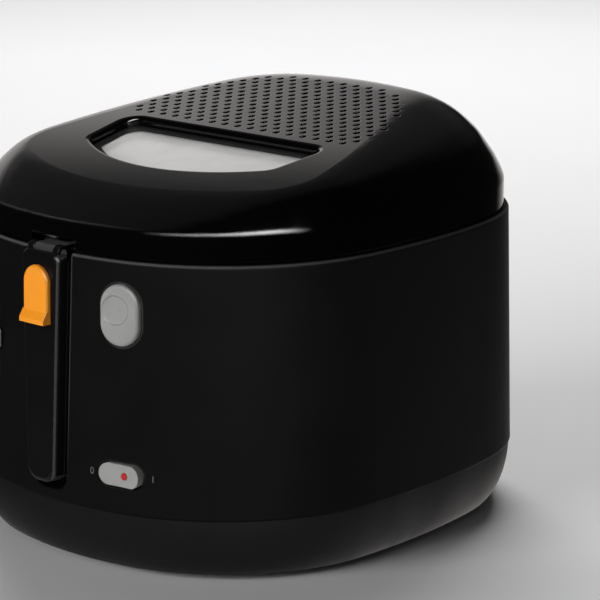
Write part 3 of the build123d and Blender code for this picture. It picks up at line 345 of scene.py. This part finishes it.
def moulded_group():
    """Moulded skin in object coordinates: grain, patches, rounded edges, wiped smears and dust specks."""
    outputs = ("Height", "Patches", "Edge", "Smear", "Dust", "Normal")
    inputs = {"Grain": 900.0, "Patch": 14.0, "Round": 0.0006, "Crease": -1.0}
    tree, inp, out = new_group("moulded_surface", inputs, outputs)
    place = add(tree, "ShaderNodeTexCoord")
    level = add(tree, "ShaderNodeSeparateXYZ")
    near = add(tree, "ShaderNodeMath", {2: CREASE_BAND}, operation="COMPARE")
    radius = add(tree, "ShaderNodeMath", {1: CREASE_ROUND}, operation="MULTIPLY_ADD")
    grain = add(tree, "ShaderNodeTexNoise", {"Detail": 3.0, "Roughness": 0.6})
    patch = add(tree, "ShaderNodeTexNoise", {"Detail": 4.0, "Roughness": 0.55, "Distortion": 0.4})
    shape = add(tree, "ShaderNodeNewGeometry")
    rounded = add(tree, "ShaderNodeBevel", samples=6)
    bend = add(tree, "ShaderNodeVectorMath", operation="DOT_PRODUCT")
    edge = add(tree, "ShaderNodeMapRange", {"From Min": 0.990, "From Max": 0.86})
    wipe = add(tree, "ShaderNodeMapping", {"Rotation": (0.0, 0.0, 0.6), "Scale": (9.0, 60.0, 20.0)})
    smear = add(tree, "ShaderNodeTexNoise", {"Scale": 1.0, "Detail": 5.0, "Roughness": 0.65})
    streaks = add(tree, "ShaderNodeMapRange", {"From Min": 0.48, "From Max": 0.75})
    cells = add(tree, "ShaderNodeTexVoronoi", {"Scale": 260.0, "Randomness": 1.0})
    specks = add(tree, "ShaderNodeMapRange", {"From Min": 0.10, "From Max": 0.05})
    for sink in (grain, patch, wipe, cells, level):
        tree.links.new(place.outputs["Object"], sink.inputs["Vector"])
    tree.links.new(inp.outputs["Grain"], grain.inputs["Scale"])
    tree.links.new(inp.outputs["Patch"], patch.inputs["Scale"])
    tree.links.new(level.outputs["Z"], near.inputs[0])
    tree.links.new(inp.outputs["Crease"], near.inputs[1])
    tree.links.new(near.outputs["Value"], radius.inputs[0])
    tree.links.new(inp.outputs["Round"], radius.inputs[2])
    tree.links.new(radius.outputs["Value"], rounded.inputs["Radius"])
    tree.links.new(rounded.outputs["Normal"], bend.inputs[0])
    tree.links.new(shape.outputs["Normal"], bend.inputs[1])
    tree.links.new(bend.outputs["Value"], edge.inputs["Value"])
    tree.links.new(rounded.outputs["Normal"], out.inputs["Normal"])
    tree.links.new(wipe.outputs["Vector"], smear.inputs["Vector"])
    tree.links.new(smear.outputs["Fac"], streaks.inputs["Value"])
    tree.links.new(cells.outputs["Distance"], specks.inputs["Value"])
    tree.links.new(grain.outputs["Fac"], out.inputs["Height"])
    tree.links.new(patch.outputs["Fac"], out.inputs["Patches"])
    tree.links.new(edge.outputs["Result"], out.inputs["Edge"])
    tree.links.new(streaks.outputs["Result"], out.inputs["Smear"])
    tree.links.new(specks.outputs["Result"], out.inputs["Dust"])
    return tree


def brushed_group():
    """Long fine lines round the upright axis with soft stains, in object coordinates."""
    tree, inp, out = new_group("brushed_surface", {"Lines": 60.0}, ("Height", "Stain"))
    place = add(tree, "ShaderNodeTexCoord")
    stretch = add(tree, "ShaderNodeMapping", {"Scale": (1.0, 1.0, 40.0)})
    lines = add(tree, "ShaderNodeTexNoise", {"Detail": 4.0, "Roughness": 0.7})
    stain = add(tree, "ShaderNodeTexNoise", {"Scale": 22.0, "Detail": 5.0, "Roughness": 0.6})
    tree.links.new(place.outputs["Object"], stretch.inputs["Vector"])
    tree.links.new(stretch.outputs["Vector"], lines.inputs["Vector"])
    tree.links.new(inp.outputs["Lines"], lines.inputs["Scale"])
    tree.links.new(place.outputs["Object"], stain.inputs["Vector"])
    tree.links.new(lines.outputs["Fac"], out.inputs["Height"])
    tree.links.new(stain.outputs["Fac"], out.inputs["Stain"])
    return tree


MOULDED = moulded_group()
BRUSHED = brushed_group()


def start_material(name):
    """Material with an empty Principled surface; returns it, its tree and the surface node."""
    made = bpy.data.materials.new(name)
    made.use_nodes = True
    tree = made.node_tree
    return made, tree, tree.nodes["Principled BSDF"]


def vary(tree, source, low, high):
    """Value from low to high as a noise goes through its usual span."""
    span = {"From Min": NOISE_SPAN[0], "From Max": NOISE_SPAN[1], "To Min": low, "To Max": high}
    made = add(tree, "ShaderNodeMapRange", span)
    tree.links.new(source, made.inputs["Value"])
    return made.outputs["Result"]


def shade(colour, factor):
    """Colour scaled by a factor, with full alpha."""
    return (*(min(1.0, c * factor) for c in colour), 1.0)


def chain(tree, source, *steps):
    """Value after a row of sums, each an operation and a constant."""
    for operation, value in steps:
        made = add(tree, "ShaderNodeMath", {1: value}, operation=operation)
        tree.links.new(source, made.inputs[0])
        source = made.outputs["Value"]
    return source


def combine(tree, operation, source, *others):
    """Value of one operation carried on from socket to socket."""
    for other in others:
        made = add(tree, "ShaderNodeMath", operation=operation)
        tree.links.new(source, made.inputs[0])
        tree.links.new(other, made.inputs[1])
        source = made.outputs["Value"]
    return source


def ramp(tree, source, span, level=1.0, shape="LINEAR"):
    """Value that goes from 0 to a level while the source goes through a span."""
    made = add(tree, "ShaderNodeMapRange", {"From Min": span[0], "From Max": span[1], "To Max": level},
               interpolation_type=shape)
    tree.links.new(source, made.inputs["Value"])
    return made.outputs["Result"]


def axes(tree, vector):
    """X, Y and Z sockets of a vector socket."""
    parts = add(tree, "ShaderNodeSeparateXYZ")
    tree.links.new(vector, parts.inputs["Vector"])
    return parts.outputs["X"], parts.outputs["Y"], parts.outputs["Z"]


def crown(tree):
    """Height of the lid's crowned top: in front of the window it falls with the square of the distance."""
    place = add(tree, "ShaderNodeTexCoord")
    _, y, _ = axes(tree, place.outputs["Object"])
    return chain(tree, y, ("SUBTRACT", CROWN_START), ("MINIMUM", 0.0), ("ABSOLUTE", 0.0), ("POWER", 2.0),
                 ("MULTIPLY", -CROWN_BEND))


def dimple(tree):
    """Height of the lid button's face: a round finger dimple with a clear lip."""
    place = add(tree, "ShaderNodeTexCoord")
    away = add(tree, "ShaderNodeVectorMath", operation="DISTANCE")
    away.inputs[1].default_value = DIMPLE_PLACE
    tree.links.new(place.outputs["Object"], away.inputs[0])
    lip = (DIMPLE_RADIUS - DIMPLE_LIP, DIMPLE_RADIUS)
    rise = ramp(tree, away.outputs["Value"], lip, DIMPLE_DEPTH, "SMOOTHSTEP")
    return chain(tree, rise, ("SUBTRACT", DIMPLE_DEPTH))


def upper_edges(tree, effect):
    """Mask of painted edge highlights: sharp edges well above the base, and the rounded rim at the lid seam.
    """
    place = add(tree, "ShaderNodeTexCoord")
    shape = add(tree, "ShaderNodeNewGeometry")
    _, _, height = axes(tree, place.outputs["Object"])
    _, _, lean = axes(tree, shape.outputs["Normal"])
    above = ramp(tree, height, (BASE_SEAM + EDGE_FADE[0], BASE_SEAM + EDGE_FADE[1]))
    near_rim = ramp(tree, height, (SEAM - RIM_REACH, SEAM - 0.5 * RIM_REACH))
    leaning = ramp(tree, lean, (RIM_LEAN[0], RIM_LEAN[1]))
    not_flat = ramp(tree, lean, (RIM_LEAN[3], RIM_LEAN[2]))
    sharp = combine(tree, "MULTIPLY", above, effect.outputs["Edge"])
    rim = combine(tree, "MULTIPLY", leaning, not_flat, near_rim)
    return combine(tree, "MAXIMUM", sharp, rim)


def arris(tree, effect):
    """Mask of a painted highlight on upright rounded edges: where the normal lies half way between the front
    and a side.
    """
    place = add(tree, "ShaderNodeTexCoord")
    near = add(tree, "ShaderNodeMath", {1: ARRIS_LEAN, 2: ARRIS_SPREAD}, operation="COMPARE")
    sideways, _, _ = axes(tree, place.outputs["Normal"])
    tree.links.new(chain(tree, sideways, ("ABSOLUTE", 0.0)), near.inputs[0])
    return combine(tree, "MAXIMUM", near.outputs["Value"], effect.outputs["Edge"])


def plastic(name, colour, rough, grain=900.0, depth=0.00003, edge=1.6, ior=1.45, smear=0.0, dust=0.0,
            soft=0.0006, crease=-1.0, relief=None, painted_highlight=None):
    """Moulded plastic: patches of colour, edges lightened as painted highlight and wear, dust, and a
    roughness that wanders and has smears.
    """
    made, tree, surface = start_material(name)
    effect = add(tree, "ShaderNodeGroup", node_tree=MOULDED)
    effect.inputs["Grain"].default_value = grain
    effect.inputs["Round"].default_value = soft
    effect.inputs["Crease"].default_value = crease
    tint = add(tree, "ShaderNodeMix", data_type="RGBA")
    tint.inputs["A"].default_value = shade(colour, PATCH_TINT[0])
    tint.inputs["B"].default_value = shade(colour, PATCH_TINT[1])
    # Edges lightened by the edge factor: a painted highlight on the body and the handle, slight edge wear on
    # the other plastics
    wear_and_highlight = add(tree, "ShaderNodeMix", data_type="RGBA")
    wear_and_highlight.inputs["B"].default_value = shade(colour, edge)
    dusty = add(tree, "ShaderNodeMix", data_type="RGBA")
    dusty.inputs["B"].default_value = DUST_COLOUR
    amount = add(tree, "ShaderNodeMath", {1: dust}, operation="MULTIPLY")
    spread = add(tree, "ShaderNodeMath", {1: smear}, operation="MULTIPLY")
    bump = add(tree, "ShaderNodeBump", {"Strength": 0.6, "Distance": depth})
    tree.links.new(vary(tree, effect.outputs["Patches"], 0.0, 1.0), tint.inputs["Factor"])
    tree.links.new(tint.outputs["Result"], wear_and_highlight.inputs["A"])
    tree.links.new(painted_highlight(tree, effect) if painted_highlight else effect.outputs["Edge"], wear_and_highlight.inputs["Factor"])
    tree.links.new(wear_and_highlight.outputs["Result"], dusty.inputs["A"])
    tree.links.new(effect.outputs["Dust"], amount.inputs[0])
    tree.links.new(amount.outputs["Value"], dusty.inputs["Factor"])
    tree.links.new(dusty.outputs["Result"], surface.inputs["Base Color"])
    tree.links.new(effect.outputs["Smear"], spread.inputs[0])
    patchy = vary(tree, effect.outputs["Patches"], PATCH_ROUGH[0] * rough, PATCH_ROUGH[1] * rough)
    tree.links.new(combine(tree, "ADD", patchy, spread.outputs["Value"]), surface.inputs["Roughness"])
    tree.links.new(effect.outputs["Height"], bump.inputs["Height"])
    normal = effect.outputs["Normal"]
    if relief:
        form = add(tree, "ShaderNodeBump", {"Strength": 1.0, "Distance": 1.0})
        tree.links.new(relief(tree), form.inputs["Height"])
        tree.links.new(normal, form.inputs["Normal"])
        normal = form.outputs["Normal"]
    tree.links.new(normal, bump.inputs["Normal"])
    tree.links.new(bump.outputs["Normal"], surface.inputs["Normal"])
    surface.inputs["IOR"].default_value = ior
    return made


def metal(name, colour, rough, lines=60.0, depth=0.00002):
    """Brushed metal with faint stains."""
    made, tree, surface = start_material(name)
    effect = add(tree, "ShaderNodeGroup", node_tree=BRUSHED)
    effect.inputs["Lines"].default_value = lines
    tint = add(tree, "ShaderNodeMix", data_type="RGBA")
    tint.inputs["A"].default_value = shade(colour, STAIN_TINT[0])
    tint.inputs["B"].default_value = shade(colour, STAIN_TINT[1])
    bump = add(tree, "ShaderNodeBump", {"Strength": 0.4, "Distance": depth})
    tree.links.new(vary(tree, effect.outputs["Stain"], 0.0, 1.0), tint.inputs["Factor"])
    tree.links.new(tint.outputs["Result"], surface.inputs["Base Color"])
    stained = vary(tree, effect.outputs["Stain"], rough + STAIN_ROUGH[0], rough + STAIN_ROUGH[1])
    tree.links.new(stained, surface.inputs["Roughness"])
    tree.links.new(effect.outputs["Height"], bump.inputs["Height"])
    tree.links.new(bump.outputs["Normal"], surface.inputs["Normal"])
    surface.inputs["Metallic"].default_value = 1.0
    return made


def pane_material():
    """Window pane: milky with oil mist, brighter where the mist is thicker."""
    made, tree, surface = start_material("misted_pane")
    effect = add(tree, "ShaderNodeGroup", node_tree=MOULDED)
    effect.inputs["Patch"].default_value = 18.0
    tint = add(tree, "ShaderNodeMix", data_type="RGBA")
    tint.inputs["A"].default_value = (0.64, 0.64, 0.63, 1.0)
    tint.inputs["B"].default_value = (0.80, 0.79, 0.78, 1.0)
    tree.links.new(vary(tree, effect.outputs["Patches"], 0.0, 1.0), tint.inputs["Factor"])
    tree.links.new(tint.outputs["Result"], surface.inputs["Base Color"])
    tree.links.new(vary(tree, effect.outputs["Patches"], 0.10, 0.22), surface.inputs["Roughness"])
    surface.inputs["Transmission Weight"].default_value = 0.25
    surface.inputs["IOR"].default_value = 1.5
    return made


def felt_material():
    """Grey filter felt: dense fibres and lumpy height."""
    made, tree, surface = start_material("filter_felt")
    place = add(tree, "ShaderNodeTexCoord")
    fibre = add(tree, "ShaderNodeTexNoise", {"Scale": 700.0, "Detail": 6.0, "Roughness": 0.8})
    tint = add(tree, "ShaderNodeMix", data_type="RGBA")
    tint.inputs["A"].default_value = (0.10, 0.10, 0.10, 1.0)
    tint.inputs["B"].default_value = (0.30, 0.30, 0.29, 1.0)
    bump = add(tree, "ShaderNodeBump", {"Strength": 0.9, "Distance": 0.0004})
    tree.links.new(place.outputs["Object"], fibre.inputs["Vector"])
    tree.links.new(vary(tree, fibre.outputs["Fac"], 0.0, 1.0), tint.inputs["Factor"])
    tree.links.new(tint.outputs["Result"], surface.inputs["Base Color"])
    tree.links.new(fibre.outputs["Fac"], bump.inputs["Height"])
    tree.links.new(bump.outputs["Normal"], surface.inputs["Normal"])
    surface.inputs["Roughness"].default_value = 0.95
    surface.inputs["Sheen Weight"].default_value = 0.4
    return made


MATERIALS = {
    # Body: its sharp upper edges and the rim at the lid seam are lightened sixteenfold, a painted highlight
    "body_black": plastic("satin_black", (0.0044, 0.0044, 0.0044), 0.52, grain=1400.0, depth=0.00004,
                          edge=16.0, ior=1.14, smear=0.06, dust=0.004, soft=0.0018, painted_highlight=upper_edges),
    "base_black": plastic("base_black", (0.0062, 0.0058, 0.0060), 0.56, grain=1000.0, depth=0.00006, edge=2.0,
                          ior=1.22, smear=0.05, dust=0.004),
    "lid_black": plastic("gloss_black", (0.0012, 0.0011, 0.0011), 0.075, grain=420.0, depth=0.000002,
                         edge=1.5, ior=1.40, smear=0.05, dust=0.002, crease=CREASE_HEIGHT, relief=crown),
    # Handle: its upright rounded edges are lightened twelvefold, a painted highlight
    "handle_black": plastic("handle_black", (0.0042, 0.0042, 0.0044), 0.30, depth=0.00002, edge=12.0,
                            ior=1.30, smear=0.08, dust=0.003, painted_highlight=arris),
    "inner_black": plastic("inner_black", (0.0080, 0.0080, 0.0082), 0.55, grain=1000.0, depth=0.00005,
                           ior=1.35, dust=0.004),
    "control_grey": plastic("control_grey", (0.30, 0.30, 0.29), 0.42, grain=1200.0, edge=1.12,
                            ior=1.40, smear=0.05, relief=dimple),
    "catch_orange": plastic("catch_orange", (1.0, 0.33, 0.018), 0.36, grain=1000.0, depth=0.00002, edge=1.1,
                            ior=1.40, smear=0.05),
    "lamp_red": plastic("lamp_red", (0.42, 0.03, 0.03), 0.18, grain=800.0, depth=0.00001, edge=1.1, ior=1.50),
    "pane": pane_material(),
    "steel": metal("brushed_steel", (0.55, 0.55, 0.56), 0.30),
    "bowl_coat": plastic("non_stick_coat", (0.022, 0.022, 0.024), 0.44, grain=700.0, depth=0.00008, edge=1.4,
                         smear=0.08, dust=0.06),
    "element": metal("oxidised_tube", (0.16, 0.15, 0.145), 0.50, lines=120.0),
    "rubber": plastic("black_rubber", (0.012, 0.012, 0.012), 0.78, grain=1500.0, depth=0.00006, edge=1.3,
                      ior=1.35, dust=0.02),
    "seal": plastic("grey_seal", (0.13, 0.13, 0.135), 0.66, grain=1400.0, depth=0.00005, edge=1.2, ior=1.40),
    "filter": felt_material(),
}
PRINT = plastic("printed_grey", (0.13, 0.13, 0.13), 0.55, grain=1500.0, depth=0.00001, edge=1.0, ior=1.40)


def dress_nodes():
    """Give every CAD node the material of its slot."""
    for entry in record["subparts"]:
        mesh = nodes[entry["node"]].data
        mesh.materials.clear()
        mesh.materials.append(MATERIALS[entry["material_slot"]])


# Pieces made here

def basket_wires():
    """Wire basket: level rings and uprights on the drafted plan, and a square grid in its floor."""
    low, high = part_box("basket_mesh")
    bottom, top = low[2] + WIRE, high[2]
    turns = np.linspace(0, 360, RING_POINTS, endpoint=False)
    parts = []
    for level in np.linspace(0, 1, RING_COUNT):
        x, y = plan(turns, -(BASKET_INSET + BASKET_DRAFT * (1 - level)))
        line = np.stack([x, y, 0 * x + bottom + level * (top - bottom)], -1)
        parts.append(tube(line, WIRE, WIRE_SIDES, True))
    for turn in np.linspace(0, 360, UPRIGHT_COUNT, endpoint=False):
        level = np.linspace(0, 1, UPRIGHT_POINTS)
        x, y = plan(turn, UPRIGHT_OUT - BASKET_INSET - BASKET_DRAFT * (1 - level))
        line = np.stack([x, y, bottom + level * (top - bottom)], -1)
        parts.append(tube(line, WIRE, WIRE_SIDES, False))
    edge_x, edge_y = plan(np.linspace(0, 360, GRID_EDGE_POINTS), -(BASKET_INSET + BASKET_DRAFT))
    for lines, other, flip in ((edge_x, edge_y, False), (edge_y, edge_x, True)):
        for at in np.arange(lines.min() + GRID_PITCH, lines.max(), GRID_PITCH):
            near = other[np.abs(lines - at) < GRID_PITCH / 4]
            span = np.linspace(near.min(), near.max(), 3)
            z = np.full(3, bottom + (2 * WIRE if flip else 0))
            line = np.stack([span, 0 * span + at, z], -1) if flip else np.stack([0 * span + at, span, z], -1)
            parts.append(tube(line, WIRE, WIRE_SIDES, False))
    obj = mesh_object("basket_wires", *join(parts))
    obj.data.materials.append(MATERIALS["steel"])
    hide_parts("basket_mesh")
    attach(obj, "basket")


def catch_spring():
    """Compression spring in the handle: a helix about the slide axis."""
    low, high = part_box("slider_spring")
    axis = np.asarray(SPRING_AXIS)
    across = np.cross(axis, (1.0, 0.0, 0.0))
    turn = np.linspace(0, 2 * pi * SPRING_TURNS, SPRING_POINTS * SPRING_TURNS + 1)
    rise = SPRING_PITCH * (turn / (2 * pi) - SPRING_TURNS / 2)
    line = (np.asarray(low) + np.asarray(high)) / 2 + rise[:, None] * axis
    line[:, 0] += SPRING_RADIUS * np.cos(turn)
    line += SPRING_RADIUS * np.sin(turn)[:, None] * across
    obj = mesh_object("catch_spring", *tube(line, SPRING_WIRE, SPRING_SIDES, False))
    obj.data.materials.append(MATERIALS["steel"])
    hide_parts("slider_spring")
    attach(obj, "handle")
    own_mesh(obj)


def printed_ribbon(name, turn, drop, line, width, closed):
    """Flat printed stroke on the wall: a line of (along, up) points, moved half a width to each side."""
    line = np.asarray(line, dtype=float)
    step = np.roll(line, -1, 0) - np.roll(line, 1, 0) if closed else np.gradient(line, axis=0)
    step /= np.linalg.norm(step, axis=1)[:, None]
    side = np.stack([-step[:, 1], step[:, 0]], -1) * width / 2
    rows = [wall_point(turn, drop, edge[:, 0], edge[:, 1], MARK_PROUD) for edge in (line - side, line + side)]
    count = len(line)
    steps = count if closed else count - 1
    here = np.arange(steps)
    there = (here + 1) % count
    faces = np.stack([here, there, count + there, count + here], -1)
    obj = mesh_object(name, np.concatenate(rows), faces)
    obj.data.materials.append(PRINT)
    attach(obj, "housing")


def printed_marks():
    """Off ring and on bar beside the rocker, and ticks beside the thermostat slot, thicker upwards."""
    turn = np.linspace(0, 2 * pi, OFF_POINTS, endpoint=False)
    ring = np.stack([OFF_HALF_WIDTH * np.cos(turn) - SWITCH_MARK_AWAY, OFF_HALF_HEIGHT * np.sin(turn)], -1)
    printed_ribbon("mark_off", CONTROL_TURN, SWITCH_DROP, ring, OFF_STROKE, True)
    upright = np.linspace(-ON_HALF_HEIGHT, ON_HALF_HEIGHT, STROKE_POINTS)
    bar = np.stack([np.full(STROKE_POINTS, SWITCH_MARK_AWAY), upright], -1)
    printed_ribbon("mark_on", CONTROL_TURN, SWITCH_DROP, bar, ON_STROKE, False)
    for number in range(TICK_COUNT):
        up = (number - (TICK_COUNT - 1) / 2) * TICK_PITCH
        level = np.linspace(TICK_OUTER, TICK_INNER - TICK_SHORTENING * number, STROKE_POINTS)
        tick = np.stack([level, np.full(STROKE_POINTS, up)], -1)
        stroke = TICK_STROKE + TICK_THICKENING * number
        printed_ribbon(f"scale_tick_{number}", -CONTROL_TURN, THERMOSTAT_DROP, tick, stroke, False)


# Stage, light and camera

def pale_material():
    """Plain pale floor with the faintest unevenness."""
    made, tree, surface = start_material("pale_floor")
    place = add(tree, "ShaderNodeTexCoord")
    noise = add(tree, "ShaderNodeTexNoise", {"Scale": 3.0, "Detail": 2.0})
    tint = add(tree, "ShaderNodeMix", data_type="RGBA")
    tint.inputs["A"].default_value = (0.74, 0.74, 0.75, 1.0)
    tint.inputs["B"].default_value = (0.78, 0.78, 0.79, 1.0)
    tree.links.new(place.outputs["Object"], noise.inputs["Vector"])
    tree.links.new(noise.outputs["Fac"], tint.inputs["Factor"])
    tree.links.new(tint.outputs["Result"], surface.inputs["Base Color"])
    surface.inputs["Roughness"].default_value = 0.7
    return made


def floor():
    """Large pale floor just under the feet."""
    corners = [(x * FLOOR_HALF, y * FLOOR_HALF, FLOOR_DEPTH) for x, y in ((-1, -1), (1, -1), (1, 1), (-1, 1))]
    obj = mesh_object("floor", corners, [(0, 1, 2, 3)], smooth=False)
    obj.data.materials.append(pale_material())
    obj.visible_glossy = False


def area_light(name, place, aim, size, power):
    """Rectangular soft light aimed at a point."""
    light = bpy.data.lights.new(name, "AREA")
    light.shape = "RECTANGLE"
    light.size, light.size_y = size
    light.energy = power
    obj = bpy.data.objects.new(name, light)
    obj.location = place
    obj.rotation_euler = (Vector(aim) - Vector(place)).to_track_quat("-Z", "Y").to_euler()
    bpy.context.scene.collection.objects.link(obj)
    return obj


def fade_ends(light):
    """Light that is full in the middle of its length and falls smoothly to nothing at both ends."""
    light.use_nodes = True
    tree = light.node_tree
    place = add(tree, "ShaderNodeNewGeometry")
    along, _, _ = axes(tree, place.outputs["Parametric"])
    rise = ramp(tree, along, (0.0, STREAK_FADE), shape="SMOOTHSTEP")
    fall = ramp(tree, along, (1.0, 1.0 - STREAK_FADE), shape="SMOOTHSTEP")
    tree.links.new(combine(tree, "MULTIPLY", rise, fall), tree.nodes["Emission"].inputs["Strength"])


def surround():
    """Dark studio with soft patches: a low panel at the left, a far wall, a dim ceiling and a pale ground."""
    world = bpy.data.worlds.new("surround")
    world.use_nodes = True
    tree = world.node_tree
    place = add(tree, "ShaderNodeTexCoord")
    toward = add(tree, "ShaderNodeVectorMath", operation="DOT_PRODUCT")
    toward.inputs[1].default_value = Vector(CEILING_MIDDLE).normalized()
    tree.links.new(place.outputs["Generated"], toward.inputs[0])
    x, y, z = axes(tree, place.outputs["Generated"])

    def edge(source, span, level=1.0):
        return ramp(tree, source, span, level, "SMOOTHSTEP")

    panel = combine(tree, "MULTIPLY", edge(z, PANEL_TOP, PANEL_LEVEL), edge(z, PANEL_FOOT),
                    edge(x, PANEL_SIDE), edge(y, PANEL_BACK))
    far = combine(tree, "MULTIPLY", edge(y, FAR_BACK, FAR_LEVEL), edge(x, FAR_SIDE), edge(z, FAR_TOP))
    ceiling = edge(toward.outputs["Value"], CEILING_EDGE, CEILING_LEVEL)
    ground = edge(z, GROUND_TOP, GROUND_LEVEL)
    right = combine(tree, "MULTIPLY", edge(z, RIGHT_TOP, RIGHT_LEVEL), edge(y, RIGHT_BACK))
    total = combine(tree, "ADD", panel, ceiling, far, ground, right)
    back = tree.nodes["Background"]
    back.inputs["Color"].default_value = SURROUND_COLOUR
    tree.links.new(chain(tree, total, ("ADD", SURROUND_LEVEL)), back.inputs["Strength"])
    bpy.context.scene.world = world


def lights():
    """Overhead and front lights, kept out of reflections, and a long box for the streak on the lid."""
    overhead = area_light("overhead", OVERHEAD_PLACE, OVERHEAD_AIM, OVERHEAD_SIZE, OVERHEAD_POWER)
    fill = area_light("front_fill", FILL_PLACE, LIGHT_AIM, FILL_SIZE, FILL_POWER)
    overhead.visible_glossy = False
    fill.visible_glossy = False
    streak = area_light("streak_box", STREAK_PLACE, LIGHT_AIM, STREAK_SIZE, STREAK_POWER)
    streak.rotation_euler.rotate_axis("Z", radians(STREAK_ROLL))
    streak.visible_diffuse = False
    fade_ends(streak.data)


def camera():
    """Camera solved from the photograph, looking at its principal point."""
    azimuth, elevation = radians(CAMERA_AZIMUTH), radians(CAMERA_ELEVATION)
    back = Vector((sin(azimuth) * cos(elevation), -cos(azimuth) * cos(elevation), sin(elevation)))
    lens = bpy.data.cameras.new("camera")
    lens.sensor_width = CAMERA_SENSOR
    lens.lens = CAMERA_LENS
    lens.clip_end = CAMERA_CLIP
    obj = bpy.data.objects.new("camera", lens)
    obj.location = Vector(CAMERA_TARGET) + back * CAMERA_DISTANCE
    obj.rotation_euler = (-back).to_track_quat("-Z", "Y").to_euler()
    bpy.context.scene.collection.objects.link(obj)
    bpy.context.scene.camera = obj


bpy.context.scene.view_settings.view_transform = "Standard"
dress_nodes()
basket_wires()
catch_spring()
printed_marks()
floor()
surround()
lights()
camera()
